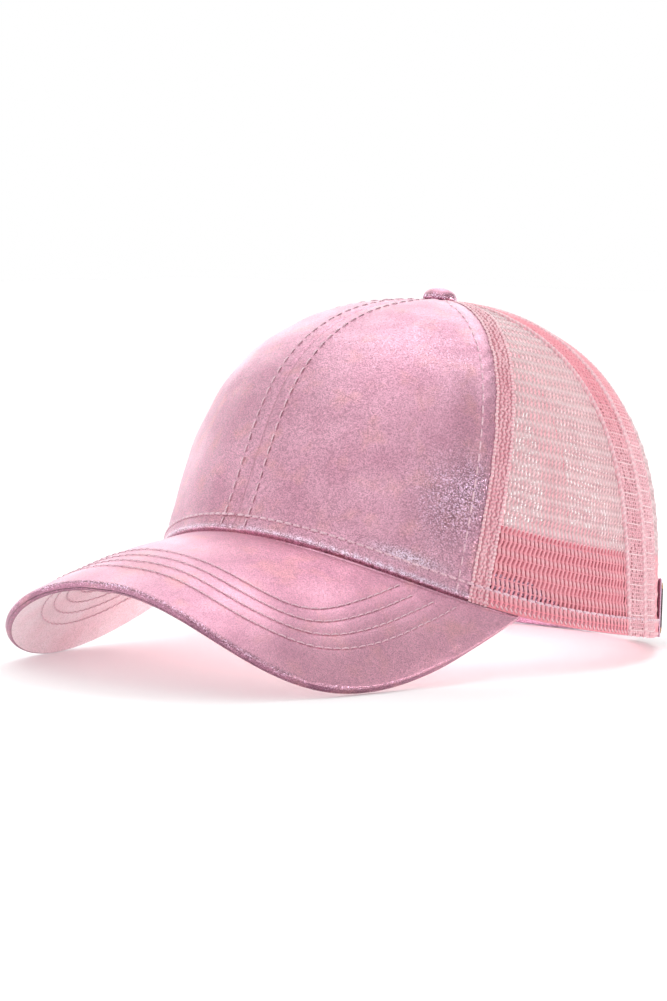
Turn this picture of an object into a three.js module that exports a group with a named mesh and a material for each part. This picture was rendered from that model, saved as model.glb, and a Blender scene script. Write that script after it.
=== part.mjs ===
import * as THREE from "three";

// A trucker cap in millimetres: front towards -Y, the wearer's left towards +X, resting on the floor at z = 0.
// The cap's own frame has its rim level with z = 0 at the back. The whole is then tilted to rest on the
// visor's two low sides and the back strap.
const restTilt = 12.13;
const restForward = 30.455;
const restLift = 17.669;

// Crown: its outer face in four directions, measured from the front (0) to the back (180).
// radius and rimHeight place the rim. top shapes the shoulder, wall the side and lean the slope inwards.
const crownRows = [
  { direction: 0, radius: 96, rimHeight: 12, top: 1.35, wall: 0.56, lean: 0.33 },
  { direction: 60, radius: 90, rimHeight: -1.5, top: 1.0, wall: 0.62, lean: 0.09 },
  { direction: 120, radius: 97.5, rimHeight: -0.25, top: 0.95, wall: 0.66, lean: 0.14 },
  { direction: 180, radius: 90, rimHeight: 2, top: 1.1, wall: 0.7, lean: 0.04 },
];
const crownHeight = 113.5;
const topForward = 2.5;
const crownWall = 1.2;
const topHoleRadius = 3;
const seamGap = 0.3;
const frontSeam = { rim: 0, top: 0 };
const sideSeam = { rim: 57, top: 61.5 };
const backSeam = { rim: 110, top: 98 };
const rearSeam = { rim: 180, top: 180 };
const hemWidth = 6.5;
const hemStep = 0.6;
const hemRise = 0.5;

// Visor: a board between two covers. Its outer edge runs from corner to corner.
const visorCorner = 69.5;
const visorReach = 59;
const visorHalfWidth = 79;
const visorSquareness = 3.4;
const visorArchRadius = 104;
const visorFrontDrop = 18;
const visorBulge = 2.8;
const visorThickness = 3.5;
const visorUnderThickness = 1.2;
const visorLedge = 0.2;
const visorSlope = 0.5;
const visorTrim = 0.985;

const sweatbandHeight = 30;
const sweatbandOffset = 1.6;
const sweatbandThickness = 1.5;
const sweatbandDrop = 4;
const sweatbandDropEnd = [40, 54];
const sweatbandEnd = 148;

// Half-moon opening at the back, with a bound edge and two strap halves across its foot.
const openingHalfWidth = 47;
const openingHeight = 33;
const bindingWidth = 8;
const bindingRise = 0.5;
const bindingGap = 0.5;
const strapBottom = 0;
const strapTop = 22;
const strapOffset = 0.9;
const strapThickness = 1.1;
const strapStart = 130.5;
const strapOverlap = 14;
const strapRampStart = 161;
const strapRampLength = 4;
const labelSpan = [134.5, 152];
const labelHeights = [1, 21];
const labelThickness = 1.2;

// Button: radius and height above the crown's top, from the washer inside to the dome.
const buttonProfile = [
  [0, -3],
  [5, -3],
  [5, -2],
  [2.3, -2],
  [2.3, 0.35],
  [5.9, 0.35],
  [6.3, 0.9],
  [6.3, 2.2],
  [5.7, 3.4],
  [4.3, 4.4],
  [2.3, 5],
  [0, 5.2],
];
const buttonSegments = 24;

const radians = THREE.MathUtils.degToRad;
const degrees = THREE.MathUtils.radToDeg;
const lerp = THREE.MathUtils.lerp;
const smooth = THREE.MathUtils.smoothstep;
const up = new THREE.Vector3(0, 0, 1);

// A crown row's value in any direction: a smooth cosine curve through the four rows.
function rowValue(name, direction) {
  const [a, b, c, d] = crownRows.map((r) => r[name]);
  const t = radians(direction);
  return (
    (a + 2 * b + 2 * c + d) / 6 +
    ((a + b - c - d) / 3) * Math.cos(t) +
    ((a - b - c + d) / 3) * Math.cos(2 * t) +
    ((a - 2 * b + 2 * c - d) / 6) * Math.cos(3 * t)
  );
}

// Share of the rim's radius left at a height from 0 (rim) to 1 (top). Below the rim the wall is straight.
function reach(direction, height) {
  if (height <= 0) return 1;
  const curve = (1 - height ** (2 / rowValue("wall", direction))) ** (rowValue("top", direction) / 2);
  return curve - rowValue("lean", direction) * height * (1 - height);
}

function crownPoint(direction, height) {
  const t = radians(direction);
  const radius = rowValue("radius", direction);
  const share = reach(direction, height);
  const rimHeight = rowValue("rimHeight", direction);
  return new THREE.Vector3(
    radius * Math.sin(t) * share,
    -radius * Math.cos(t) * share - topForward * (1 - share),
    rimHeight + (crownHeight - rimHeight) * height,
  );
}

function crownNormal(direction, height) {
  const h = THREE.MathUtils.clamp(height, 0.006, 0.99);
  const along = crownPoint(direction + 1, h).sub(crownPoint(direction - 1, h));
  const rise = crownPoint(direction, h + 0.005).sub(crownPoint(direction, h - 0.005));
  return along.cross(rise).normalize();
}

// A point off the crown's outer face: positive offsets are outside it.
function shellPoint(direction, height, offset) {
  return crownPoint(direction, height).addScaledVector(crownNormal(direction, height), offset);
}

// Height share of a point so many millimetres above the rim.
function shareOf(direction, millimetres) {
  return millimetres / (crownHeight - rowValue("rimHeight", direction));
}

// A closed slab between two grids of points: at(i, j, face) with face 0 outside and 1 inside.
function slab(columns, rows, at) {
  const positions = [];
  const index = [];
  const id = (i, j, face) => (face * (columns + 1) + i) * (rows + 1) + j;
  const quad = (a, b, c, d) => index.push(a, b, c, a, c, d);
  for (const face of [0, 1])
    for (let i = 0; i <= columns; i++)
      for (let j = 0; j <= rows; j++) positions.push(...at(i, j, face).toArray());
  for (let i = 0; i < columns; i++)
    for (let j = 0; j < rows; j++) {
      quad(id(i, j, 0), id(i + 1, j, 0), id(i + 1, j + 1, 0), id(i, j + 1, 0));
      quad(id(i, j, 1), id(i, j + 1, 1), id(i + 1, j + 1, 1), id(i + 1, j, 1));
    }
  for (let i = 0; i < columns; i++) {
    quad(id(i, 0, 0), id(i, 0, 1), id(i + 1, 0, 1), id(i + 1, 0, 0));
    quad(id(i, rows, 0), id(i + 1, rows, 0), id(i + 1, rows, 1), id(i, rows, 1));
  }
  for (let j = 0; j < rows; j++) {
    quad(id(0, j, 0), id(0, j + 1, 0), id(0, j + 1, 1), id(0, j, 1));
    quad(id(columns, j, 0), id(columns, j, 1), id(columns, j + 1, 1), id(columns, j + 1, 0));
  }
  return facingOut(solidOf(positions, index));
}

function solidOf(positions, index) {
  return new THREE.BufferGeometry()
    .setAttribute("position", new THREE.Float32BufferAttribute(positions, 3))
    .setIndex(index);
}

function turnedRound(geometry) {
  const index = geometry.index.array;
  for (let i = 0; i < index.length; i += 3) [index[i + 1], index[i + 2]] = [index[i + 2], index[i + 1]];
  return geometry;
}

function facingOut(geometry) {
  const p = geometry.attributes.position;
  const index = geometry.index.array;
  const corner = (k) => new THREE.Vector3().fromBufferAttribute(p, index[k]);
  let volume = 0;
  for (let i = 0; i < index.length; i += 3) volume += corner(i).dot(corner(i + 1).cross(corner(i + 2)));
  return volume < 0 ? turnedRound(geometry) : geometry;
}

function mirrored(geometry) {
  return turnedRound(geometry.clone().applyMatrix4(new THREE.Matrix4().makeScale(-1, 1, 1)));
}

const seamAt = (seam, height) => lerp(seam.rim, seam.top, height);

// Direction of a panel's column at a height. A column is a share of the panel's width between its hems,
// or lies millimetres in from its first or last seam.
function columnDirection(panel, column, height) {
  const first = seamAt(panel.from, height);
  const last = seamAt(panel.to, height);
  const middle = (first + last) / 2;
  const radius = rowValue("radius", middle) * Math.max(reach(middle, height), 0.02);
  const width = radians(last - first) * radius;
  const inset = (millimetres) => Math.min(seamGap / 2 + millimetres, width * (0.1 + millimetres * 0.03));
  const turn = (millimetres) => degrees(inset(millimetres) / radius);
  if (column.fromFirst !== undefined) return first + turn(column.fromFirst);
  if (column.fromLast !== undefined) return last - turn(column.fromLast);
  return lerp(first + turn(panel.hem), last - turn(panel.hem), column.share);
}

// Lowest height of a panel's column: the rim, or the bound edge of the opening where it is higher.
function columnFoot(panel, column) {
  if (!panel.opening) return 0;
  const outside = (height) => {
    const direction = columnDirection(panel, column, height);
    const x = crownPoint(direction, height).x / panel.opening.halfWidth;
    return x ** 2 + (height / shareOf(direction, panel.opening.height)) ** 2 - 1;
  };
  if (outside(0) >= -1e-6) return 0;
  let low = 0;
  let high = 0.75;
  for (let k = 0; k < 40; k++) {
    const half = (low + high) / 2;
    if (outside(half) < 0) low = half;
    else high = half;
  }
  return high;
}

// Height at which the crown has narrowed to the hole round the button's stem.
function topHeight(direction) {
  const share = topHoleRadius / rowValue("radius", direction);
  return (1 - share ** (2 / rowValue("top", direction))) ** (rowValue("wall", direction) / 2);
}

// Rows lie closer together towards the top, where the crown bends most.
function crownPanel(panel, columns, rows) {
  const feet = columns.map((c) => Math.asin(columnFoot(panel, c)));
  const tops = columns.map((c) => Math.asin(topHeight(columnDirection(panel, c, 0.999))));
  return slab(columns.length - 1, rows, (i, j, face) => {
    const height = Math.sin(lerp(feet[i], tops[i], j / rows));
    const direction = columnDirection(panel, columns[i], height);
    const rise = columns[i].raised ? hemRise * smooth(1 - height, 0.005, 0.04) : 0;
    if (face === 0) return shellPoint(direction, height, rise);
    const inner = shellPoint(direction, height, -crownWall);
    if (j === 0 && height === 0) inner.z = crownPoint(direction, 0).z;
    return inner;
  });
}

const shares = (count, low = 0, high = 1) =>
  Array.from({ length: count + 1 }, (_, k) => ({ share: lerp(low, high, k / count) }));

const foilColumns = [{ fromFirst: 0 }, ...shares(8, 0.1, 0.9), { fromLast: 0 }];

const hemStart = [
  { fromFirst: 0, raised: true },
  { fromFirst: hemWidth, raised: true },
];
const hemEnd = [
  { fromLast: hemWidth, raised: true },
  { fromLast: 0, raised: true },
];
const meshHem = hemWidth + hemStep;
const frontPanel = { from: frontSeam, to: sideSeam, hem: 0 };
const sidePanel = { from: sideSeam, to: backSeam, hem: meshHem };
const backPanel = {
  from: backSeam,
  to: rearSeam,
  hem: meshHem,
  opening: {
    halfWidth: openingHalfWidth + bindingWidth + bindingGap,
    height: openingHeight + bindingWidth + bindingGap,
  },
};

// Direction and height of the back point with this x and so many millimetres above the rim.
function onBack(x, millimetres) {
  let low = 90;
  let high = 180;
  for (let k = 0; k < 40; k++) {
    const half = (low + high) / 2;
    if (crownPoint(half, shareOf(half, millimetres)).x > x) low = half;
    else high = half;
  }
  const direction = (low + high) / 2;
  return { direction, height: shareOf(direction, millimetres) };
}

// Columns of the back panel: even ones up to the foot of the arch, then one for each angle up its edge.
function backColumns() {
  const shareAt = (angle) => {
    const p = onBack(
      backPanel.opening.halfWidth * Math.cos(radians(angle)),
      backPanel.opening.height * Math.sin(radians(angle)),
    );
    const first = columnDirection(backPanel, { share: 0 }, p.height);
    const last = columnDirection(backPanel, { share: 1 }, p.height);
    return (p.direction - first) / (last - first);
  };
  const arch = [0, 9, 18, 27, 36, 45, 54, 63, 72].map((angle) => ({ share: shareAt(angle) }));
  const even = shares(5, 0, arch[0].share).slice(0, -1);
  return [...hemStart, ...even, ...arch, { share: 1 }, ...hemEnd];
}

// The visor's lower outline. place runs from -1 to 1, corner to corner.
function visorAngle(place) {
  return Math.sign(place) * 90 * (1 - (1 - Math.abs(place)) ** (visorSquareness / 2));
}

const cornerPoint = crownPoint(visorCorner, 0);
const frontY = -(crownRows[0].radius + visorReach);
const archDrop = (x) => visorArchRadius - Math.sqrt(visorArchRadius ** 2 - x ** 2);

// How far along from the front (0) to the corner (1) the outline is at this angle.
function towardsCorner(angle) {
  return 1 - Math.abs(Math.cos(radians(angle))) ** (2 / visorSquareness);
}

function visorOutline(angle) {
  const s = Math.sin(radians(angle));
  const back = towardsCorner(angle);
  const narrowing = 1 - (1 - cornerPoint.x / visorHalfWidth) * back ** 3;
  const x = visorHalfWidth * Math.sign(s) * Math.abs(s) ** (2 / visorSquareness) * narrowing;
  const z = -visorFrontDrop - archDrop(x);
  const cornerLift = cornerPoint.z + visorFrontDrop + archDrop(cornerPoint.x);
  return new THREE.Vector3(x, lerp(frontY, cornerPoint.y, back), z + cornerLift * back ** 2);
}

// The direction through the visor's thickness: straight up where it is sewn to the crown, square to the
// arch at the edge and towards the corners, where it hangs steeply.
function visorUp(angle, share) {
  const x = visorOutline(angle).x / visorArchRadius;
  const flat = Math.sqrt(1 - x ** 2);
  const arch = new THREE.Vector3(x, -visorSlope * flat, flat).normalize();
  const back = towardsCorner(angle);
  const weight = Math.max(share * (1 - back ** 4), smooth(back, 0.5, 0.85));
  return up.clone().lerp(arch, weight).normalize();
}

function visorTopPoint(angle, share) {
  const rim = crownPoint((angle / 90) * visorCorner, 0);
  const radius = Math.hypot(rim.x, rim.y);
  const ledge = share < 0 ? -crownWall : visorLedge;
  const root = new THREE.Vector3(rim.x, rim.y, 0).multiplyScalar((radius + ledge) / radius);
  root.z = rim.z - seamGap;
  if (share <= 0) return root;
  const lift = visorThickness * (1 - towardsCorner(angle) ** 4);
  const edge = visorOutline(angle).addScaledVector(visorUp(angle, 1), lift);
  const point = root.lerp(edge, share);
  point.z += visorBulge * 4 * share * (1 - share) * Math.cos(radians(angle));
  return point;
}

// One layer of the visor, between two depths under its top face.
function visorLayer(depths) {
  const columns = 32;
  const rowShares = [-1, 0, 0.15, 0.32, 0.5, 0.68, 0.85, 1];
  return slab(columns, rowShares.length - 1, (i, j, face) => {
    const angle = visorAngle(lerp(-visorTrim, visorTrim, i / columns));
    const share = rowShares[j];
    const through = visorUp(angle, Math.max(share, 0));
    return visorTopPoint(angle, share).addScaledVector(through, -depths[face]);
  });
}

function sweatband() {
  const columns = 56;
  return slab(columns, 3, (i, j, face) => {
    const direction = lerp(-sweatbandEnd, sweatbandEnd, i / columns);
    const drop = 1 - smooth(Math.abs(direction), ...sweatbandDropEnd);
    const bottom = lerp(0.5, -sweatbandDrop, drop);
    const height = shareOf(direction, lerp(bottom, sweatbandHeight, j / 3));
    const depth = sweatbandOffset + face * sweatbandThickness;
    const point = shellPoint(direction, height, -depth);
    return point.setZ(crownPoint(direction, height).z);
  });
}

// The bound edge: an arch from foot to foot, bindingWidth wide.
function openingBinding() {
  const columns = 32;
  return slab(columns, 2, (i, j, face) => {
    const angle = radians((180 * i) / columns);
    const grow = (bindingWidth * j) / 2;
    const x = (openingHalfWidth + grow) * Math.cos(angle);
    const above = (openingHeight + grow) * Math.sin(angle);
    const p = onBack(Math.abs(x), above);
    const direction = x < 0 ? 360 - p.direction : p.direction;
    return shellPoint(direction, p.height, face === 0 ? bindingRise : -crownWall);
  });
}

// A band round the outside of the crown between two directions and two heights above the rim.
function outerBand(span, heights, offset, thickness, columns) {
  return slab(columns, 1, (i, j, face) => {
    const direction = lerp(span[0], span[1], i / columns);
    const height = shareOf(direction, heights[j]);
    const point = shellPoint(direction, height, offset(direction) + (1 - face) * thickness);
    return point.setZ(crownPoint(direction, height).z);
  });
}

function button() {
  const positions = [];
  const index = [];
  const ring = buttonProfile.slice(1, -1);
  const place = (radius, height, k) => {
    const t = (2 * Math.PI * k) / buttonSegments;
    positions.push(radius * Math.cos(t), radius * Math.sin(t) - topForward, crownHeight + height);
  };
  for (const [radius, height] of ring) for (let k = 0; k < buttonSegments; k++) place(radius, height, k);
  const bottom = ring.length * buttonSegments;
  place(0, buttonProfile[0][1], 0);
  place(0, buttonProfile.at(-1)[1], 0);
  for (let k = 0; k < buttonSegments; k++) {
    const next = (k + 1) % buttonSegments;
    const last = (ring.length - 1) * buttonSegments;
    index.push(bottom, next, k, bottom + 1, last + k, last + next);
    for (let j = 0; j < last; j += buttonSegments) {
      index.push(j + k, j + next, j + buttonSegments + next);
      index.push(j + k, j + buttonSegments + next, j + buttonSegments + k);
    }
  }
  return facingOut(solidOf(positions, index));
}

const group = new THREE.Group();

function add(name, geometry, colour, roughness, metalness = 0) {
  const material = new THREE.MeshStandardMaterial({ color: colour, roughness, metalness });
  const mesh = new THREE.Mesh(geometry, material);
  mesh.name = name;
  group.add(mesh);
}

const foilPink = 0xd7a0af;
const meshPink = 0xe6bec0;
const bandPink = 0xe8798f;
const darkLeather = 0x4a3538;

const front = crownPanel(frontPanel, foilColumns, 12);
const side = crownPanel(sidePanel, [...hemStart, ...shares(6), ...hemEnd], 12);
const back = crownPanel(backPanel, backColumns(), 11);
add("crown_front_left", front, foilPink, 0.42, 0.35);
add("crown_front_right", mirrored(front), foilPink, 0.42, 0.35);
add("mesh_side_left", side, meshPink, 0.7);
add("mesh_side_right", mirrored(side), meshPink, 0.7);
add("mesh_back_left", back, meshPink, 0.7);
add("mesh_back_right", mirrored(back), meshPink, 0.7);

const coverDepth = visorThickness - visorUnderThickness;
add("visor_top", visorLayer([0, coverDepth - seamGap]), foilPink, 0.42, 0.35);
add("visor_under", visorLayer([coverDepth, visorThickness]), foilPink, 0.5, 0.3);
add("sweatband", sweatband(), bandPink, 0.85);
add("button", button(), foilPink, 0.42, 0.35);
add("opening_binding", openingBinding(), meshPink, 0.8);

const ramp = (direction) =>
  strapOffset + (strapThickness + seamGap) * smooth(direction, strapRampStart, strapRampStart + strapRampLength);
const strapHeights = [strapBottom, strapTop];
const leftSpan = [strapStart, 180 + strapOverlap];
const rightSpan = [180 - strapOverlap, 360 - strapStart];
add("strap_left", outerBand(leftSpan, strapHeights, ramp, strapThickness, 30), foilPink, 0.42, 0.35);
add("strap_right", outerBand(rightSpan, strapHeights, () => strapOffset, strapThickness, 24), foilPink, 0.42, 0.35);

const labelOffset = () => strapOffset + strapThickness + seamGap;
add("label", outerBand(labelSpan, labelHeights, labelOffset, labelThickness, 8), darkLeather, 0.6);

group.rotation.x = -radians(restTilt);
group.position.set(0, restForward, restLift);

export default group;
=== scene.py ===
import math
from functools import partial

import bpy
import numpy as np
from mathutils import Matrix, Vector


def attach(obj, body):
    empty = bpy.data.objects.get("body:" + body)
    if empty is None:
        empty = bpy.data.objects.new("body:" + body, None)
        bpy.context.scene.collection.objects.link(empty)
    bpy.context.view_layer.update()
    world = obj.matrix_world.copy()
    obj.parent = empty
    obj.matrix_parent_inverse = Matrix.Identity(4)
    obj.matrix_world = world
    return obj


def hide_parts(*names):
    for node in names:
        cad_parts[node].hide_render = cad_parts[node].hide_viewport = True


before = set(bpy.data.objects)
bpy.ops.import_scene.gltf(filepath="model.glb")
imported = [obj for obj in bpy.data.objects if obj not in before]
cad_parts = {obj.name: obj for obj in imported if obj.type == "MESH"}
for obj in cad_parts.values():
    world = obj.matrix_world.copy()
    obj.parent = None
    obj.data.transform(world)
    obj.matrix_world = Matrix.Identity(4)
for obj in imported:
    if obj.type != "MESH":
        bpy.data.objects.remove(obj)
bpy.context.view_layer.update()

print("frame loaded:", len(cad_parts), "nodes")

# Camera and studio first. The cap stands at the origin, front towards -Y, in metres.
camera = {
    "target": (-0.0205126, 0.0159897, 0.0547784),
    "azimuth": 42.456,  # degrees round from the front, towards the wearer's left
    "elevation": 4.888,
    "distance": 1.36383,
    "roll": 0.456,
    "lens": 130.65,
    "sensor": 36,
    "clip": (0.05, 30),
}


def towards(azimuth, elevation):
    a, e = math.radians(azimuth), math.radians(elevation)
    return Vector((math.sin(a) * math.cos(e), -math.cos(a) * math.cos(e), math.sin(e)))


def addToScene(name, data):
    thing = bpy.data.objects.new(name, data)
    bpy.context.scene.collection.objects.link(thing)
    return thing


def addCamera():
    data = bpy.data.cameras.new("photo_camera")
    data.lens, data.sensor_width = camera["lens"], camera["sensor"]
    data.clip_start, data.clip_end = camera["clip"]
    viewer = addToScene("photo_camera", data)
    back = towards(camera["azimuth"], camera["elevation"])
    place = Matrix.Translation(Vector(camera["target"]) + back * camera["distance"])
    turn = (-back).to_track_quat("-Z", "Y").to_matrix().to_4x4()
    viewer.matrix_world = place @ turn @ Matrix.Rotation(math.radians(camera["roll"]), 4, "Z")
    bpy.context.scene.camera = viewer


addCamera()


def linear(hexColour):
    channels = [int(hexColour[k : k + 2], 16) / 255 for k in (1, 3, 5)]
    return tuple(c / 12.92 if c <= 0.04045 else ((c + 0.055) / 1.055) ** 2.4 for c in channels) + (1.0,)


# Adds one node with its settings and gives one of its outputs. An input is a value, or the socket that feeds it.
def addNode(tree, kind, inputs, output=0, **settings):
    node = tree.nodes.new("ShaderNode" + kind)
    for name, value in settings.items():
        setattr(node, name, value)
    for name, value in inputs.items():
        if isinstance(value, bpy.types.NodeSocket):
            tree.links.new(value, node.inputs[name])
        else:
            node.inputs[name].default_value = value
    return node.outputs[output] if len(node.outputs) else None


def newMaterial(name):
    material = bpy.data.materials.new(name)
    material.use_nodes = True
    material.node_tree.nodes.clear()
    return material, partial(addNode, material.node_tree)


def addSurface(add, inputs):
    add("OutputMaterial", {"Surface": add("BsdfPrincipled", inputs)})


studio = {
    "room": 0.86,  # brightness of the room's walls
    "glow": {  # azimuth, elevation, cosines where the zone fades in and where it is full, what it adds
        "ceiling": (-175, 76, 0.66, 1.0, 0.66),
        "window": (48, 55, 0.82, 1.0, 0.42),
        "backdrop": (-138, 14, 0.62, 0.95, 1.05),
        "darkLeft": (-78, 18, 0.88, 1.0, -0.3),
        "darkRight": (131, 27, 0.42, 0.88, -0.68),
    },
    "background": 1.0,
    "floorColour": "#ffffff",
    "floorSize": 8,
    "lights": {  # place, size, power and colour
        "above": ((-0.02, 0.56, 1.45), 0.7, 2.4, "#ffffff"),
        "rightSide": ((1.25, 0.5, 0.95), 0.18, 0.8, "#ffffff"),
        "lowRight": ((1.25, 0.95, 0.18), 0.3, 6.5, "#fff6f4"),
        "lowLeft": ((-1.2, -0.9, 0.06), 0.5, 5.4, "#ffffff"),
    },
    "inside": {"at": (0.0, 0.035, 0.065), "size": 0.06, "power": 0.16},  # lifts the shade inside the crown
}


# A pale room that the foil mirrors: brighter overhead, at a window and low behind the cap's left side, and dimmer
# low at its left and behind its right side. The camera itself sees plain white.
def addWorld():
    world = bpy.data.worlds.new("studio")
    bpy.context.scene.world = world
    world.use_nodes = True
    world.node_tree.nodes.clear()
    add = partial(addNode, world.node_tree)
    way = add("TexCoord", {}, "Generated")
    strength = studio["room"]
    for azimuth, elevation, low, high, most in studio["glow"].values():
        facing = add("VectorMath", {0: way, 1: towards(azimuth, elevation)}, "Value", operation="DOT_PRODUCT")
        ramp = {"Value": facing, "From Min": low, "From Max": high, "To Min": 0.0, "To Max": most}
        adds = add("MapRange", ramp, interpolation_type="SMOOTHSTEP")
        strength = add("Math", {0: strength, 1: adds}, operation="ADD")
    room = add("Background", {"Color": (1, 1, 1, 1), "Strength": strength})
    seen = add("Background", {"Color": (1, 1, 1, 1), "Strength": studio["background"]})
    ray = add("LightPath", {}, "Is Camera Ray")
    add("OutputWorld", {"Surface": add("MixShader", {0: ray, 1: room, 2: seen})})
    bpy.context.scene.view_settings.view_transform = "Standard"


def addLights():
    for name, (at, size, power, colour) in studio["lights"].items():
        data = bpy.data.lights.new(name, "AREA")
        data.shape = "DISK"
        data.size, data.energy, data.color = size, power, linear(colour)[:3]
        lamp = addToScene(name, data)
        lamp.location = at
        lamp.rotation_euler = (Vector(camera["target"]) - lamp.location).to_track_quat("-Z", "Y").to_euler()
    inside = bpy.data.lights.new("inside", "POINT")
    inside.shadow_soft_size, inside.energy = studio["inside"]["size"] / 2, studio["inside"]["power"]
    lamp = addToScene("inside", inside)
    lamp.location = studio["inside"]["at"]
    lamp.visible_camera = False


# Matt white studio paper: it takes a soft shadow and hardly mirrors anything.
def addFloor():
    half = studio["floorSize"] / 2
    mesh = bpy.data.meshes.new("floor")
    mesh.from_pydata([(-half, -half, 0), (half, -half, 0), (half, half, 0), (-half, half, 0)], [], [(0, 1, 2, 3)])
    material, add = newMaterial("matt_studio_paper")
    addSurface(add, {"Base Color": linear(studio["floorColour"]), "Roughness": 0.9, "Specular IOR Level": 0.2})
    mesh.materials.append(material)
    floor = addToScene("floor", mesh)


addWorld()
addLights()
addFloor()
print("camera, lights and floor")


# The crown's outer face, as in the solids, in millimetres. Rows of four hold at 0, 60, 120 and 180 degrees from the
# front.
crown = {
    "radius": (96, 90, 97.5, 90),
    "rimHeight": (12, -1.5, -0.25, 2),
    "top": (1.35, 1.0, 0.95, 1.1),
    "wall": (0.56, 0.62, 0.66, 0.7),
    "lean": (0.33, 0.09, 0.14, 0.04),
    "height": 113.5,
    "topForward": 2.5,
    "topHole": 3,
    "thickness": 1.2,
    "perDegree": 1.62,  # cloth along the rim for each degree round it
    "tilt": 12.13,  # how the cap rests: tilted back onto its strap
    "forward": 30.455,
    "lift": 17.669,
}


def unit(v):
    return v / np.maximum(np.linalg.norm(v, axis=-1, keepdims=True), 1e-12)


def smooth(value, low, high):
    t = np.clip((value - low) / (high - low), 0, 1)
    return t * t * (3 - 2 * t)


def bump(value, centre, width):
    return np.exp(-(((value - centre) / width) ** 2))


# Points from their coordinates, each a number, a row or a grid.
def spread(*coordinates):
    return np.stack(np.broadcast_arrays(*coordinates), -1)


# The outer and then the inner face of a shell, as one ring at each station.
def wrapped(outer, inner):
    return np.concatenate([outer, inner[:, ::-1]], 1)


def runLength(path):
    return np.concatenate([[0], np.cumsum(np.linalg.norm(np.diff(path, axis=0), axis=1))])


def placed(points):
    t = math.radians(crown["tilt"])
    x, y, z = np.moveaxis(points, -1, 0)
    forward = y * math.cos(t) + z * math.sin(t) + crown["forward"]
    return spread(x, forward, z * math.cos(t) - y * math.sin(t) + crown["lift"]) / 1000


def rowValue(name, direction):
    a, b, c, d = crown[name]
    t = np.radians(direction)
    even = (a + 2 * b + 2 * c + d) / 6 + (a - b - c + d) / 3 * np.cos(2 * t)
    return even + (a + b - c - d) / 3 * np.cos(t) + (a - 2 * b + 2 * c - d) / 6 * np.cos(3 * t)


# The crown's radius at a height share, as a share of its radius at the rim.
def reach(direction, height):
    h = np.clip(height, 0, 1)
    curve = (1 - h ** (2 / rowValue("wall", direction))) ** (rowValue("top", direction) / 2)
    return curve - rowValue("lean", direction) * h * (1 - h)


def crownPoint(direction, height):
    t = np.radians(direction)
    radius, rim = rowValue("radius", direction), rowValue("rimHeight", direction)
    share = reach(direction, height)
    y = -radius * np.cos(t) * share - crown["topForward"] * (1 - share)
    return spread(radius * np.sin(t) * share, y, rim + (crown["height"] - rim) * height)


def crownNormal(direction, height):
    h = np.clip(height, 0.006, 0.99)  # the slope is taken a little inside the rim and the top
    along = crownPoint(direction + 1, h) - crownPoint(direction - 1, h)
    rise = crownPoint(direction, h + 0.005) - crownPoint(direction, h - 0.005)
    return unit(np.cross(along, rise))


# A point off the crown's face, and the way out from there.
def offCrown(direction, height, offset):
    normal = crownNormal(direction, height)
    return crownPoint(direction, height) + normal * np.asarray(offset)[..., None], normal


# Height share of a point so many millimetres above the rim.
def shareOf(direction, millimetres):
    return millimetres / (crown["height"] - rowValue("rimHeight", direction))


# A point above the rim, off the crown's face but kept level.
def bandPoint(direction, millimetres, offset):
    height = shareOf(direction, millimetres)
    moved, _ = offCrown(direction, height, offset)
    return spread(moved[..., 0], moved[..., 1], crownPoint(direction, height)[..., 2])


# Slow dents and waves of soft cloth, about one up or down.
def dents(points, size, seed, waves=14):
    chance = np.random.default_rng(seed)
    ways = unit(chance.normal(size=(waves, 3))) * chance.uniform(0.6, 1.6, (waves, 1)) * 2 * math.pi / size
    return np.sin(points @ ways.T + chance.uniform(0, 2 * math.pi, waves)).sum(-1) / math.sqrt(waves)


# A closed solid through rings of points: rings has the shape (..., stations, ring, 3), and both ends are closed.
# cloth is each point's place on the flat cloth in millimetres, and kinds a material number for each strip of a ring.
def loft(rings, cloth, kinds=0, rub=0.0, lidKind=None):
    stations, ring = rings.shape[-3:-1]
    solids = rings.reshape(-1, stations * ring, 3)
    i, k = np.meshgrid(np.arange(stations - 1), np.arange(ring), indexing="ij")
    after = (k + 1) % ring
    sides = [i * ring + k, (i + 1) * ring + k, (i + 1) * ring + after, i * ring + after]
    half = np.arange(ring // 2 - 1)
    lid = np.stack([half, half + 1, ring - 2 - half, ring - 1 - half], -1)
    faces = np.concatenate([np.stack(sides, -1).reshape(-1, 4), lid, lid[:, ::-1] + (stations - 1) * ring])
    strips = np.broadcast_to(np.asarray(kinds), (stations - 1, ring)).reshape(-1)
    faceKinds = np.concatenate([strips, np.full(2 * len(half), np.max(kinds) if lidKind is None else lidKind)])
    a, b, c, d = (solids[0][faces[:, n]] for n in range(4))
    if (np.cross(a, b) * c + np.cross(a, c) * d).sum() < 0:  # the volume: faces look outwards
        faces = faces[:, ::-1]
    count = len(solids)
    everyFace = (faces[None] + np.arange(count)[:, None, None] * stations * ring).reshape(-1, 4)
    return {
        "points": solids.reshape(-1, 3),
        "faces": everyFace,
        "kinds": np.tile(faceKinds, count),
        "cloth": np.broadcast_to(cloth, rings.shape[:-1] + (2,)).reshape(-1, 2),
        "rub": np.broadcast_to(rub, rings.shape[:-1]).reshape(-1),
    }


# The same part on the wearer's other side.
def mirrored(part):
    flipped = {"points": part["points"] * (-1, 1, 1), "faces": part["faces"][:, ::-1]}
    return {**part, **flipped, "cloth": part["cloth"] * (-1, 1)}


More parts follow.
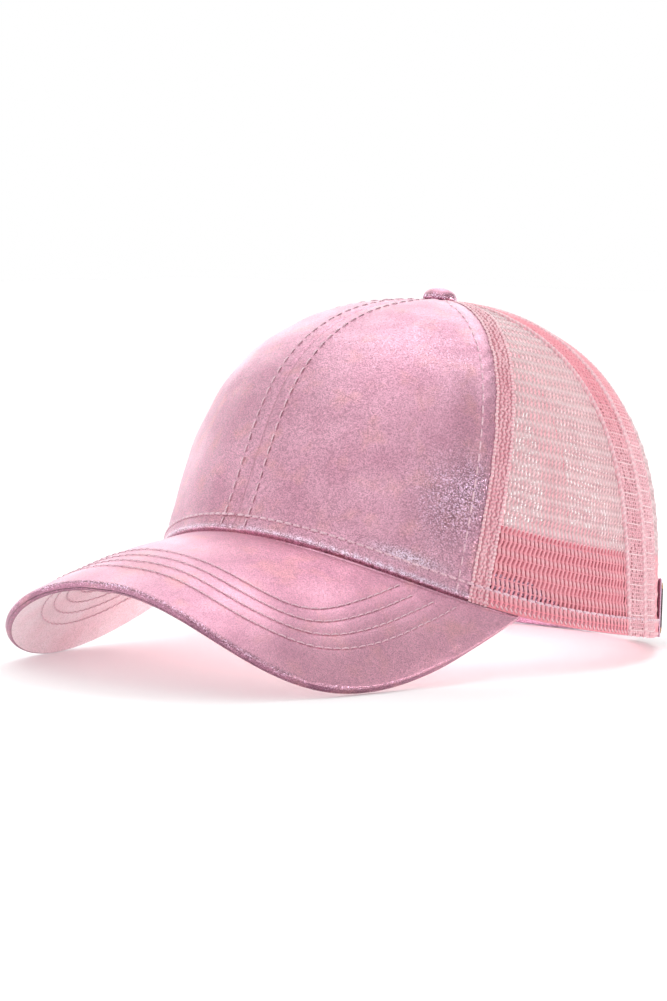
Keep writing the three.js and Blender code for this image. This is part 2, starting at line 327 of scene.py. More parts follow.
# A thread: a tube along paths of the shape (..., stations, 3) lying on a surface with those normals. Its marks,
# the rub with its painted light and the tint behind with its painted hole shade, are values for its stations.
def tube(paths, normals, wide, high, sides=6, taper=1.0, **marks):
    along = unit(np.gradient(paths, axis=-2))
    across = unit(np.cross(along, normals))
    above = unit(np.cross(across, along))
    turn = np.arange(sides) * 2 * math.pi / sides
    scale = np.broadcast_to(taper, paths.shape[:-1])
    w = (np.cos(turn) * wide)[:, None] * across[..., None, :]
    h = (np.sin(turn) * high)[:, None] * above[..., None, :]
    step = np.linalg.norm(np.diff(paths, axis=-2), axis=-1)
    length = np.concatenate([np.zeros_like(step[..., :1]), np.cumsum(step, -1)], -1)
    cloth = spread(turn / 2 * (wide + high), length[..., None])
    part = loft(paths[..., None, :] + (w + h) * scale[..., None, None], cloth)
    shape = paths.shape[:-1] + (sides,)
    return part | {kind: np.broadcast_to(np.asarray(at)[..., None], shape).ravel() for kind, at in marks.items()}


stitch = {
    "pitch": 4.1,
    "gap": 0.9,
    "wide": 0.32,
    "high": 0.25,
    "hole": 0.24,  # needle hole where two stitches meet: half its width, and half its length
    "holeLength": 0.312,
    "holeLift": 0.14,
    "holeHigh": 0.06,
    "stations": (0, 0.1, 0.3, 0.5, 0.7, 0.9, 1),
    "rise": (-0.3, 0.14, 0.3, 0.34, 0.3, 0.14, -0.3),
    "taper": (0.55, 0.9, 1, 1.02, 1, 0.9, 0.55),
}


# A row of topstitches along a path on the cloth. Each stitch dips into its needle holes, drawn as dark dots: painted
# shade.
def stitches(path, normals, start=0.0, pitch=stitch["pitch"], gap=stitch["gap"], holes=False, thick=1.0):
    length = runLength(path)
    count = int((length[-1] - start) / pitch)
    if count < 1:
        return []

    def along(at):
        places, ways = (np.stack([np.interp(at, length, of[:, n]) for n in range(3)], -1) for of in (path, normals))
        return places, unit(ways)

    first = start + np.arange(count)[:, None] * pitch + gap / 2
    places, ways = along(first + np.array(stitch["stations"]) * (pitch - gap))
    places = places + ways * np.array(stitch["rise"])[None, :, None]
    parts = [tube(places, ways, stitch["wide"] * thick, stitch["high"] * thick, 6, stitch["taper"])]
    if holes:
        # Needle holes: small dots in the dark behind colour, a painted shade.
        places, ways = along(first - gap / 2 + np.array([-1, 0, 1]) * stitch["holeLength"])
        places = places + ways * stitch["holeLift"]
        parts.append(tube(places, ways, stitch["hole"], stitch["holeHigh"], 5, (0.5, 1, 0.5), behind=1.0))
    return parts


# A closed band round the crown, from the heights and depths of its section in each direction.
def band(direction, up, away, **looks):
    return loft(bandPoint(direction, up, away), spread(direction * crown["perDegree"], up), **looks)


# A row of stitches at a height above the rim and so far off the crown's face, outside or (-1) inside.
def bandStitches(direction, up, away, facing=1):
    return stitches(bandPoint(direction, up, away), facing * crownNormal(direction, shareOf(direction, up)))


# One object from its parts, with the cloth coordinates and the marks its materials read: the rub, which is wear
# with painted shade and painted highlights, the tint behind with painted hole shade, and the painted shine.
def makePiece(name, parts, materials, replaced=()):
    counts = np.cumsum([0] + [len(p["points"]) for p in parts])
    faces = np.concatenate([p["faces"] + start for p, start in zip(parts, counts)])
    points = placed(np.concatenate([p["points"] for p in parts]))
    mesh = bpy.data.meshes.new(name)
    mesh.vertices.add(len(points))
    mesh.vertices.foreach_set("co", points.astype(np.float32).ravel())
    mesh.loops.add(faces.size)
    mesh.loops.foreach_set("vertex_index", faces.astype(np.int32).ravel())
    mesh.polygons.add(len(faces))
    mesh.polygons.foreach_set("loop_start", np.arange(0, faces.size, 4, dtype=np.int32))
    for material in materials:
        mesh.materials.append(material)
    mesh.polygons.foreach_set("material_index", np.concatenate([p["kinds"] for p in parts]).astype(np.int32))
    mesh.update(calc_edges=True)
    cloth = np.concatenate([p["cloth"] for p in parts])
    layer = mesh.uv_layers.new(name="cloth")
    layer.uv.foreach_set("vector", cloth[faces.ravel()].astype(np.float32).ravel())
    for kind in ("rub", "behind", "shine"):
        if any(kind in p for p in parts):
            values = np.concatenate([p.get(kind, np.zeros(len(p["points"]))) for p in parts])
            mesh.attributes.new(kind, "FLOAT", "POINT").data.foreach_set("value", values.astype(np.float32))
    mesh.shade_smooth()
    mesh.set_sharp_from_angle(angle=math.radians(55))
    piece = addToScene(name, mesh)
    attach(piece, "root")
    if replaced:
        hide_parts(*replaced)
    print(name, 2 * len(faces), "triangles")


# A share from 0 to most, in soft clouds of so many millimetres.
def clouds(add, place, size, detail=2.0, roughness=0.5, low=0.35, high=0.65, most=1.0):
    noise = add("TexNoise", {"Vector": place, "Scale": 1000 / size, "Detail": detail, "Roughness": roughness})
    return add("MapRange", {"Value": noise, "From Min": low, "From Max": high, "To Max": most})


# What every material here starts with: its colour, clouded with a shade of it.
def clouded(name, look, *settings):
    material, add = newMaterial(name)
    place = add("TexCoord", {}, "Object")
    share = clouds(add, place, *settings)
    colour = add("Mix", {0: share, 6: linear(look["shade"]), 7: linear(look["colour"])}, 2, data_type="RGBA")
    return material, add, place, share, colour


foilLook = {  # sizes in millimetres
    "colour": "#dda8bc",
    "shade": "#cd96ab",
    "warm": "#e3a9aa",
    # Painted highlights: glint colours flakes where the rub mark lies, and shine lays a sheen along folds.
    "glint": "#fcd4f0",
    "shine": "#ffeaff",
    "peach": 0.45,  # how much of the warm colour shows in its clouds
    "blotch": 20,
    "crease": 7,
    "grain": 0.5,  # the real yarns are 0.25 and the real flakes finer still, which the render would lose
    "flake": 0.34,
    "speckle": 0.3,
    # Where rubbed, the grains grow more contrasty and rubShade paints the colour darker: painted shade.
    "rubbed": 0.45,
    "rubShade": 0.5,
    "tilt": 0.27,
    "rubTilt": 0.6,  # where the foil is rubbed its flakes lie less flat
    "polish": 0.2,
    "relief": 0.8,
    "roughness": 0.38,
    "metallic": 0.8,
    "sheen": 0.16,
}


# Foil-coated polyester: a thin metallic film hot-pressed on woven cloth. The film follows the yarns, so its wide
# soft highlight breaks into fine grains. Where the rub mark lies the colour is painted darker, a painted shade,
# with lilac painted glints, and the shine mark lays a painted highlight into the colour.
def foilCloth(name, **changes):
    look = {**foilLook, **changes}
    material, add, place, blotch, colour = clouded(name, look, look["blotch"], 3.0, 0.55, 0.36, 0.64)
    rub, shine = (add("Attribute", {}, "Fac", attribute_name=kind) for kind in ("rub", "shine"))
    warm = clouds(add, place, look["blotch"] * 0.45, low=0.54, high=0.72, most=look["peach"])
    cells = add("TexVoronoi", {"Vector": place, "Scale": 1000 / look["flake"]}, "Color")
    flake = add("SeparateColor", {0: cells})
    patchy = add("MapRange", {"Value": warm, "To Min": look["speckle"], "To Max": look["speckle"] * 0.6})
    amount = add("Math", {0: rub, 1: look["rubbed"], 2: patchy}, operation="MULTIPLY_ADD")
    either = add("MapRange", {"Value": flake, "To Min": -1.0, "To Max": 1.0})
    # Painted shade: the colour is darkened where the rub mark lies.
    worn = add("Math", {0: rub, 1: -look["rubShade"], 2: 1.0}, operation="MULTIPLY_ADD")
    grainShade = add("Math", {0: either, 1: amount, 2: worn}, operation="MULTIPLY_ADD")
    # Painted glints: flakes where the rub mark lies turn the lilac glint colour.
    rubbed = add("Math", {0: rub, 1: flake}, operation="ADD")
    glint = add("MapRange", {"Value": rubbed, "From Min": 0.98, "From Max": 1.3})
    # Painted highlight: the shine mark lays a grainy white-lilac sheen into the colour.
    grainy = add("MapRange", {"Value": flake, "From Min": 0.2, "From Max": 0.75, "To Min": 0.1, "To Max": 1.2})
    bright = add("Math", {0: shine, 1: grainy}, operation="MULTIPLY", use_clamp=True)
    for share, top in ((warm, "warm"), (1.0, None), (glint, "glint"), (bright, "shine")):
        layer = {0: share, 6: colour, 7: linear(look[top]) if top else grainShade}
        colour = add("Mix", layer, 2, data_type="RGBA", blend_type="MIX" if top else "MULTIPLY")
    dull, clear = look["roughness"] + 0.05, look["roughness"] - 0.05
    rough = add("MapRange", {"Value": blotch, "To Min": dull, "To Max": clear})
    rough = add("Math", {0: rub, 1: -look["polish"], 2: rough}, operation="MULTIPLY_ADD")
    fine = {}
    for size, detail, strength, depth in (
        (look["crease"], 3.0, 0.5, 0.0003),
        (look["grain"], 2.0, look["relief"], 0.0002),
    ):
        noise = add("TexNoise", {"Vector": place, "Scale": 1000 / size, "Detail": detail, "Roughness": 0.6})
        fine = {"Normal": add("Bump", {"Strength": strength, "Distance": depth, "Height": noise, **fine})}
    tilt = add("VectorMath", {0: cells, 1: (0.5, 0.5, 0.5)}, operation="SUBTRACT")
    lean = add("Math", {0: rub, 1: look["rubTilt"], 2: look["tilt"]}, operation="MULTIPLY_ADD")
    tilt = add("VectorMath", {0: tilt, "Scale": lean}, operation="SCALE")
    tilted = add("VectorMath", {0: tilt, 1: fine["Normal"]}, operation="ADD")
    surface = {"Base Color": colour, "Roughness": rough, "Metallic": look["metallic"], "Sheen Weight": look["sheen"]}
    normal = add("VectorMath", {0: tilted}, operation="NORMALIZE")
    addSurface(add, {**surface, "Normal": normal, "Sheen Roughness": 0.4})
    return material


# Foil over the soft front panels, and a darker copy of it where the foil is pressed sharp round the visor's
# edges: its darkness is painted shade.
foilFabric = foilCloth("foil_coated_polyester")
edgeFoil = foilCloth("creased_foil_edge", colour="#b98298", shade="#a26f86")
# Foil glued over the visor's board: flatter, so its highlight is smoother.
visorFoil = foilCloth("foil_coated_polyester_on_board", colour="#e3aabe", blotch=26, tilt=0.18, speckle=0.22)
# The lining's foil is painted pale, near white, to stand in for the light bounced up under the visor: painted
# light. It has little shine.
liningFoil = foilCloth(
    "worn_foil_lining", colour="#fff0f4", shade="#fde3e9", peach=0.1, metallic=0.05, roughness=0.6,
    tilt=0.12, speckle=0.12, rubShade=0.2,
)
# Straps cut from the foil cloth's lilac side.
strapFoil = foilCloth("lilac_foil_strap", colour="#e4b4d0", shade="#cf9cba", peach=0.1)


bandsPerMillimetre = 0.3142  # the wave texture's scale that draws one band a millimetre


# Polyester filament yarn, twisted and knitted or sewn: soft, matt with a faint sheen, its twist drawn as slanting
# ridges. Knots are painted paler, a painted highlight, and the tint behind lays another colour over it: the
# sweatband's colour through net yarn, pinker hems, and on thread the painted shade of a needle hole.
def yarnMaterial(name, twist=0.9, roughness=0.5, sheen=0.3, pale=0.7, behind="#fa99a8", **look):
    material, add, _, _, colour = clouded(name, look, 9)
    cloth = add("UVMap", {}, uv_map="cloth")
    ridges = {"Vector": cloth, "Scale": bandsPerMillimetre / twist, "Distortion": 1.0}
    ply = add("TexWave", ridges, 1, bands_direction="DIAGONAL")
    knots, covered = (add("Attribute", {}, "Fac", attribute_name=kind) for kind in ("rub", "behind"))
    knots = add("Math", {0: knots, 1: pale}, operation="MULTIPLY")
    colour = add("Mix", {0: 0.25, 6: colour, 7: ply}, 2, data_type="RGBA", blend_type="MULTIPLY")
    # Painted highlight on knots, then the tint behind, which is painted shade in a needle hole.
    for share, top in ((knots, "#fdf0f1"), (covered, behind)):
        colour = add("Mix", {0: share, 6: colour, 7: linear(top)}, 2, data_type="RGBA")
    relief = add("Bump", {"Strength": 0.5, "Distance": 0.0001, "Height": ply})
    rough = add("MapRange", {"Value": ply, "To Min": roughness, "To Max": roughness - 0.12})
    surface = {"Base Color": colour, "Roughness": rough, "Normal": relief, "IOR": 1.5}
    addSurface(add, {**surface, "Sheen Weight": sheen, "Sheen Roughness": 0.5})
    return material


# Net yarn is matt and cloudy. Hem yarn lies two deep, so it is pinker.
netYarn = yarnMaterial("polyester_net_yarn", colour="#e5c1c5", shade="#dbb2b8", pale=0.35)
hemYarn = yarnMaterial("polyester_hem_yarn", colour="#fbb6c3", shade="#f3a0b1", pale=0.55)
# Sewing thread is spun tighter and glossier. Its behind colour is the dark of a needle hole: painted shade.
sewingThread = yarnMaterial(
    "polyester_thread", colour="#f8cfdc", shade="#f1c1d1", twist=0.6, roughness=0.35, sheen=0.6, behind="#ad6a80"
)


# Plain and twill woven cotton or tape: crossing yarns in ribs and picks, matt, with a little fuzz. The closest weaves
# are drawn about twice as coarse as real ones, so that they show.
def wovenCloth(name, **look):
    material, add, place, _, colour = clouded(name, look, 14, 4.0, 0.6)
    cloth = add("UVMap", {}, uv_map="cloth")
    weave = 1.0
    for spacing, way in (("rib", look["lines"]), ("pick", "Y")):
        ridges = {"Vector": cloth, "Scale": bandsPerMillimetre / look[spacing], "Distortion": 0.3}
        weave = add("Math", {0: weave, 1: add("TexWave", ridges, 1, bands_direction=way)}, operation="MULTIPLY")
    woven = {0: look["contrast"], 6: colour, 7: weave}
    colour = add("Mix", woven, 2, data_type="RGBA", blend_type="MULTIPLY")
    fuzz = add("TexNoise", {"Vector": place, "Scale": 1000 / 0.5, "Detail": 2.0})
    hairy = add("Bump", {"Strength": 0.3, "Distance": 0.0001, "Height": fuzz})
    relief = add("Bump", {"Strength": 0.7, "Distance": 0.00018, "Height": weave, "Normal": hairy})
    low, high = look["roughness"] - 0.08, look["roughness"] + 0.08
    rough = add("MapRange", {"Value": fuzz, "To Min": low, "To Max": high})
    surface = {"Base Color": colour, "Roughness": rough, "Normal": relief, "IOR": 1.5}
    addSurface(add, {**surface, "Sheen Weight": look["sheen"], "Sheen Roughness": 0.5})
    return material


# Brushed cotton twill, dyed deep pink: slanting ribs, quite matt.
bandCotton = wovenCloth(
    "cotton_twill_sweatband", colour="#ffa9b8", shade="#fd9aad", lines="DIAGONAL", rib=1.1, pick=0.8,
    contrast=0.2, roughness=0.8, sheen=0.3,
)
# The net doubled over at its hems: close upright ribs, and its inner face with the net's own open spacing.
hemBacking = wovenCloth(
    "doubled_net_backing", colour="#fbb0bd", shade="#f6a1b1", lines="X", rib=1.0, pick=1.4,
    contrast=0.35, roughness=0.7, sheen=0.2,
)
hemInside = wovenCloth(
    "folded_net_inside", colour="#f1c9ce", shade="#eabbc2", lines="X", rib=1.6, pick=2.8,
    contrast=0.3, roughness=0.7, sheen=0.2,
)
# Grosgrain tape: thick cross ribs that catch a little light.
bindingTape = wovenCloth(
    "grosgrain_binding_tape", colour="#f1c3ca", shade="#e9b4bd", lines="X", rib=1.1, pick=0.5,
    contrast=0.25, roughness=0.65, sheen=0.25,
)
# Plain cotton fused to the back of the front panels: pale, even and matt.
panelBacking = wovenCloth(
    "fused_cotton_backing", colour="#f3dcdf", shade="#ecd0d4", lines="X", rib=0.9, pick=0.9,
    contrast=0.15, roughness=0.85, sheen=0.2,
)
print("materials")


# Panels. A seam's direction goes evenly from rim to top.
seams = {"front": (0, 0), "side": (57, 61.5), "back": (110, 98), "rear": (180, 180)}
panels = {
    "inset": 0.06,  # half the gap between two panels in a seam
    "allowance": 5.5,  # topstitching to seam
    "rimStitch": 6.2,
    "gather": 26,  # a panel narrower than this squeezes its seams together
}


def seamAt(name, height):
    rim, top = seams[name]
    return rim + (top - rim) * np.asarray(height)


# A panel's first seam, width in millimetres and radius at a height, and how much its edges are squeezed together.
def panelFrame(first, last, height):
    start, end = seamAt(first, height), seamAt(last, height)
    middle = (start + end) / 2
    radius = rowValue("radius", middle) * np.maximum(reach(middle, height), 0.02)
    width = np.radians(end - start) * radius - 2 * panels["inset"]
    return start, width, radius, np.minimum(1, width / panels["gather"])


def panelDirection(first, last, across, height):
    start, _, radius, _ = panelFrame(first, last, height)
    return start + np.degrees((panels["inset"] + across) / radius)


# Height shares up a panel at even steps, with the given millimetres near the rim, and their length along the cloth.
def panelRows(first, last, nearRim, step):
    middle = (seams[first][0] + seams[last][0]) / 2
    share = crown["topHole"] / rowValue("radius", middle)
    top = (1 - share ** (2 / rowValue("top", middle))) ** (rowValue("wall", middle) / 2)
    fine = np.sin(np.linspace(0, math.asin(top), 600))
    length = runLength(crownPoint((seamAt(first, fine) + seamAt(last, fine)) / 2, fine))
    even = np.linspace(nearRim[-1], length[-1], int((length[-1] - nearRim[-1]) / step) + 1)
    along = np.concatenate([nearRim[:-1], even])
    return np.interp(along, length, fine), along, (length, fine)


foilPanel = {
    "nearSeam": (0, 0.2, 0.45, 0.75, 1.1, 1.6, 2.3, 3.2, 4.2, 4.8, 5.15, 5.5, 5.85, 6.2, 6.8, 7.8, 9.2),
    "nearRim": (0, 0.2, 0.4, 0.65, 0.9, 1.15, 1.4, 1.7, 2.05, 2.5, 3.1, 4.2, 5.2, 5.8, 6.2, 6.6, 7.2, 8.2),
    "middle": 34,
    "step": 1.3,
    "seamDip": (0.4, 0.15),  # how far the cloth pulls in at the centre and side seams
    "raised": (0.1, 0.3),
    "tuck": 1.0,  # the cloth turns in at its lowest edge
    "roll": 0.5,  # the folded lower edge
    "groove": 0.2,
    "dent": 0.42,
    "pucker": 0.1,
    "puckerPitch": 7.3,
    "pinch": 0.16,  # how deep and wide the rim's stitches nip the fold
    "pinchWidth": 0.8,
    # Spots of rub, which is wear painted darker with lilac glints (painted shade and painted glints), and of painted
    # shine: strength, distance from the side seam and its reach, height above the rim and its reach.
    "rubbed": ((0.45, 13, 13, 30, 16), (0.3, 5, 6, 38, 10), (0.4, 25, 13, 8, 2.5), (0.16, 16, 15, 86, 22)),
    "shining": ((0.75, 25, 11, 7.6, 1.9),),
}


# How far the foil cloth stands off the crown: seams pull in, the doubled edges stand up, rows of stitches sink.
# d is the distance from a seam, and v the height above the rim. side is true nearer the side seam.
def foilRelief(points, d, side, v, seed):
    look = foilPanel
    dip, raised = (np.where(side, look[name][1], look[name][0]) for name in ("seamDip", "raised"))
    groove = 0.8 + 0.2 * np.cos(2 * math.pi * v / stitch["pitch"])
    offset = -dip * bump(d, 0, 0.75)
    offset += raised * smooth(d, 0.2, 3.2) * (1 - smooth(d, 5.3, 7.2))
    offset -= look["groove"] * bump(d, panels["allowance"], 0.5) * groove
    offset -= look["tuck"] * bump(v, 0, 0.45)
    offset += look["roll"] * bump(v, 1.35, 0.95) * (0.85 + 0.15 * dents(points, 9, seed + 2))
    offset += look["raised"][1] * smooth(v, 0.3, 1.5) * (1 - smooth(v, 6, 8)) * smooth(d, 5, 7)
    offset -= look["groove"] * bump(v, panels["rimStitch"], 0.55)
    free = smooth(d, 3, 16) * smooth(v, 5, 20)
    offset += look["dent"] * free * (dents(points, 62, seed) + 0.4 * dents(points, 27, seed + 1))
    return offset + look["pucker"] * np.sin(2 * math.pi * v / look["puckerPitch"] + d) * bump(d, 3.4, 3)


def spots(name, fromSide, v):
    return sum(w * bump(fromSide, d, wide) * bump(v, up, tall) for w, d, wide, up, tall in foilPanel[name])


def foilPanelPart(side, seed):
    look = foilPanel
    height, along, _ = panelRows("front", "side", look["nearRim"], look["step"])
    _, width, _, squeeze = (x[:, None] for x in panelFrame("front", "side", height))
    height, v = height[:, None], along[:, None]
    left = np.array(look["nearSeam"]) * squeeze
    right = width - left[:, ::-1]
    middle = left[:, -1:] + (right[:, :1] - left[:, -1:]) * np.linspace(0, 1, look["middle"] + 2)[1:-1]
    across = np.concatenate([left, middle, right], 1)
    v = np.broadcast_to(v, across.shape)
    direction = panelDirection("front", "side", across, height)
    base, normal = crownPoint(direction, height), crownNormal(direction, height)
    distance = np.minimum(across, width - across) / squeeze
    offset = foilRelief(base * (side, 1, 1), distance, across > width / 2, v, seed)
    pinched = bump(np.mod(across, stitch["pitch"]) - stitch["pitch"] / 2, 0, look["pinchWidth"])
    offset = offset - look["pinch"] * pinched * bump(v, 1.9, 1.3)
    inner = base - normal * crown["thickness"]
    inner[0, :, 2] = base[0, :, 2]
    rings = wrapped(base + normal * offset[..., None], inner)
    u = across - width / 2
    fromSide = (width - across) / squeeze
    strong = 0.35 + 0.65 * bump(fromSide, 42, 40)
    # Fold and spots: rub paints them darker with glints, shine paints a highlight along the fold, broken at stitches.
    rub = 0.35 * bump(v, 1.5, 1.3) * strong + spots("rubbed", fromSide, v)
    shine = bump(v, 1.9, 0.9) * strong * (1 - 0.9 * pinched) + spots("shining", fromSide, v)
    plain = np.zeros_like(v)
    kinds = np.repeat([0, 1], across.shape[1])
    part = loft(rings, spread(wrapped(u, u), np.concatenate([v, v], 1)), kinds, wrapped(rub, plain))
    return {**part, "shine": wrapped(shine, plain).ravel()}


foilCloths = [foilFabric, panelBacking]
makePiece("front_panel_left", [foilPanelPart(1, 11)], foilCloths, ["crown_front_left"])
makePiece("front_panel_right", [mirrored(foilPanelPart(-1, 47))], foilCloths, ["crown_front_right"])


net = {
    "wale": 1.6,  # spacing of the upright yarns
    "fan": 0.32,  # stretched this much wider apart at the rim
    "fanHeight": 48,
    "course": 2.78,  # spacing of the cross bars
    "firstCourse": 0.35,
    "sway": 0.4,
    "wide": 0.5,
    "high": 0.3,
    "knot": 1.28,
    "knotRise": 0.2,
    "slack": 0.9,
    "barWide": 0.2,
    "barHigh": 0.16,
    "depth": -0.55,
    "overFold": (0.12, 5.4, 8.6),  # depth over the folded band at the rim, and where that ends
    "clear": 0.8,  # how much of the sweatband's colour comes through
    "bandEdge": (28.5, 31),
    "hems": {"side": 6.4, "back": 12.4, "rear": 6.4},  # doubled strip beside each seam
}
opening = {"halfWidth": 47, "height": 33, "tape": 8, "underTape": 0.8}


def waleAt(v):
    return net["wale"] + net["fan"] * (1 - smooth(v, 0, net["fanHeight"]))


# The surface under a net panel, by millimetres from the panel's middle and up from the rim.
def netPoint(panel, u, v, offset):
    first, last, (length, fine) = panel
    height = np.interp(v, length, fine)
    direction = panelDirection(first, last, u + panelFrame(first, last, height)[1] / 2, height)
    return offCrown(direction, height, offset)


# True where the net shows, between its hems and outside the back opening.
def netShows(panel, u, v):
    first, last, (length, fine) = panel
    height = np.interp(v, length, fine)
    _, width, _, squeeze = panelFrame(first, last, height)
    low, high = net["hems"][first] * squeeze - width / 2, width / 2 - net["hems"][last] * squeeze
    inside = (u > low) & (u < high) & (v < length[-1] - 1)
    if last == "rear":
        direction = panelDirection(first, last, u + width / 2, height)
        grow = opening["tape"] - opening["underTape"]
        x = crownPoint(direction, height)[..., 0] / (opening["halfWidth"] + grow)
        inside &= x**2 + (height / shareOf(direction, opening["height"] + grow)) ** 2 > 1
    return inside


# The net stands back from the crown's face and comes forward over the folded band at the rim.
def netDepth(v):
    over, low, high = net["overFold"]
    return net["depth"] + (over - net["depth"]) * (1 - smooth(v, low, high)) - 0.5 * (1 - smooth(v, 0.0, 0.7))


# The clear yarn takes on the colour of the sweatband where that lies behind it.
def overBand(v):
    return net["clear"] * (1 - smooth(v, *net["bandEdge"])) + 0.16 * (1 - smooth(v, 6, 9))


# The net's upright yarns, each swaying from knot to knot, and the cross bars that tie them.
def netParts(panel):
    length = panel[2][0]
    half = int((panelFrame(panel[0], panel[1], 0.0)[1] + 12) / 2 / net["wale"])
    wales = np.arange(-half, half + 1)
    courses = np.arange(int((length[-1] - net["firstCourse"]) / net["course"]))
    levels = net["firstCourse"] + courses * net["course"]
    sway = net["sway"] * np.where(courses % 2 == 0, -1, 1)
    shows = netShows(panel, wales[:, None] * waleAt(levels), levels)
    parts = []
    for n, wale in enumerate(wales):
        found = np.flatnonzero(shows[n])
        if len(found) < 2:
            continue
        for run in np.split(found, np.flatnonzero(np.diff(found) > 1) + 1):
            low, high = max(run[0] - 1, 0), min(run[-1] + 1, len(levels) - 1)
            if high - low < 2:
                continue
            at = np.arange(low, high + 0.25, 0.5)
            up = levels[0] + at * net["course"]
            knots = (at % 2 == 1.5).astype(float)
            across = wale * waleAt(up) + np.interp(at, courses, sway)
            path, normal = netPoint(panel, across, up, netDepth(up) + net["knotRise"] * knots)
            thick = 1 + (net["knot"] - 1) * knots - (1 - net["slack"]) * (at % 2 == 0.5)
            tint = overBand(up) * (1 - 0.35 * knots)
            # Knots are painted paler through rub: a painted highlight.
            parts.append(tube(path, normal, net["wide"], net["high"], 6, thick, rub=knots, behind=tint))
    n, j = np.nonzero(shows[:-1] | shows[1:])
    up = np.broadcast_to(levels[j][:, None], (len(n), 3))
    across = wales[n][:, None] * waleAt(up) + sway[j][:, None] + np.array([0, 0.5, 1]) * waleAt(up)
    path, normal = netPoint(panel, across, up, netDepth(up) - np.array([0.06, -0.02, 0.06]))
    return parts + [tube(path, normal, net["barWide"], net["barHigh"], 5, behind=overBand(up))]


hem = {
    # Sections of the doubled cloth's two faces: share of the hem's width, or height at the rim, and depth.
    "outer": [(0, -0.3), (0.03, -0.14), (0.15, -0.08), (0.5, -0.05), (0.87, -0.08), (0.97, -0.2), (1.0, -0.5)],
    "inner": [(0.97, -0.9), (0.87, -1.05), (0.5, -1.1), (0.15, -1.1), (0.04, -0.95), (0, -0.75), (-0.003, -0.6)],
    "rimOuter": [
        (0.1, -0.6), (0, -0.4), (0.3, -0.2), (1.2, -0.12), (3.2, -0.1), (5.2, -0.14), (6.1, -0.3), (6.4, -0.6),
    ],
    "rimInner": [
        (6.1, -0.95), (5.2, -1.1), (3.2, -1.15), (1.2, -1.15), (0.3, -1.1), (0.05, -0.95), (0, -0.8), (0.05, -0.7),
    ],
    "wales": 1.36,  # spacing, sway and half the thickness of the upright yarns
    "sway": 0.36,
    "wide": 0.48,
    "high": 0.3,
    "lift": 0.1,
    "pinker": (0.7, 55, 105),  # the corded hems turn pinker with height
    "cords": ((0.55, 0.32), (-0.3, -0.02)),  # distance from the seam, or from the hem's far edge, and lift
    "cordSize": (0.85, 0.75),
    "rungLift": (0.3, 0.42, 0.42, 0.4, 0.1),
    "rungSize": (0.3, 0.24),
    "rimRows": (1.3, 5.7),  # knotted rows where the band is sewn
    "knotSize": (0.32, 0.26),
}


# A hem of doubled net beside a panel's first or last seam, with wavy upright yarns on it. A corded hem also has a
# beaded cord along each side and rungs between them. It starts so many millimetres above the rim.
def hemParts(panel, edge, foot=0.0, cord=False):
    first, last, (length, fine) = panel
    along = np.arange(foot, length[-1], net["course"] / 4)
    _, width, _, squeeze = panelFrame(first, last, np.interp(along, length, fine))

    def acrossOf(distance):
        inward = distance * squeeze[:, None] - width[:, None] / 2
        return inward if edge == "first" else -inward

    wide = net["hems"][first if edge == "first" else last]
    section = np.array(hem["outer"] + hem["inner"]) * (wide, 1)
    across = acrossOf(section[:, 0])
    rings, _ = netPoint(panel, across, along[:, None], section[:, 1])
    parts = [loft(rings, spread(across, along[:, None]), np.repeat([1, 2], len(hem["outer"])))]
    step = np.arange(len(along)) % 4
    knots = (step % 2 == 0) * 1.0
    wales = np.linspace(-0.2, wide - 0.5, round(wide / hem["wales"]))
    chance = np.random.default_rng(len(along))
    wander = chance.uniform(0.2, 1.5, (len(wales), len(along)))
    phases = chance.uniform(-0.6, 0.6, len(wales))
    drift = chance.normal(0, 0.3, (len(wales), len(along) + 4))
    drift = sum(drift[:, n : n + len(along)] for n in range(5)) / math.sqrt(5)
    most, low, high = hem["pinker"]
    pinker = most * smooth(along, low, high) * cord
    for n, distance in enumerate(wales):
        edging = n in (0, len(wales) - 1)  # the outer yarns are a firmer chain
        swing = hem["sway"] * np.cos(step * math.pi / 2 + phases[n] + (n % 2) * 0.8)
        sway = swing * wander[n] * (0.6 if edging else 1) + (0.3 if edging else 0.8) * drift[n]
        at = acrossOf((distance + sway)[:, None])[:, 0]
        path, normal = netPoint(panel, at, along, hem["lift"] + 0.08 * knots)
        # Knots, and more so on the outer yarns, are painted paler through rub: a painted highlight.
        yarnWide, pale = (hem["wide"] * 1.15, knots) if edging else (hem["wide"], knots * 0.5)
        thick = squeeze * (0.9 + 0.25 * knots)
        parts.append(tube(path, normal, yarnWide, hem["high"], 6, thick, rub=pale, behind=pinker))
    if cord:
        for distance, lift in hem["cords"]:
            at = acrossOf(distance if distance > 0 else wide + distance)[:, 0]
            path, normal = netPoint(panel, at, along, lift)
            beads = 1 + 0.12 * np.cos(math.pi * np.arange(len(along)))
            # The cord's beads are painted pale through rub, every fourth more: a painted highlight.
            parts.append(tube(path, normal, *hem["cordSize"], 7, squeeze * beads, rub=0.4 + 0.6 * (step == 0)))
        rungs = slice(3, len(along) - 3, 2)
        line = acrossOf(np.linspace(0.6, wide - 0.3, 5))[rungs]
        path, normal = netPoint(panel, line, along[rungs, None], hem["rungLift"])
        # Every fourth rung is painted paler through rub: a painted highlight.
        bright = 0.2 + 0.7 * (np.arange(len(line))[:, None] % 4 == 0)
        parts.append(tube(path, normal, *hem["rungSize"], 5, rub=bright, behind=pinker[rungs, None]))
    return parts


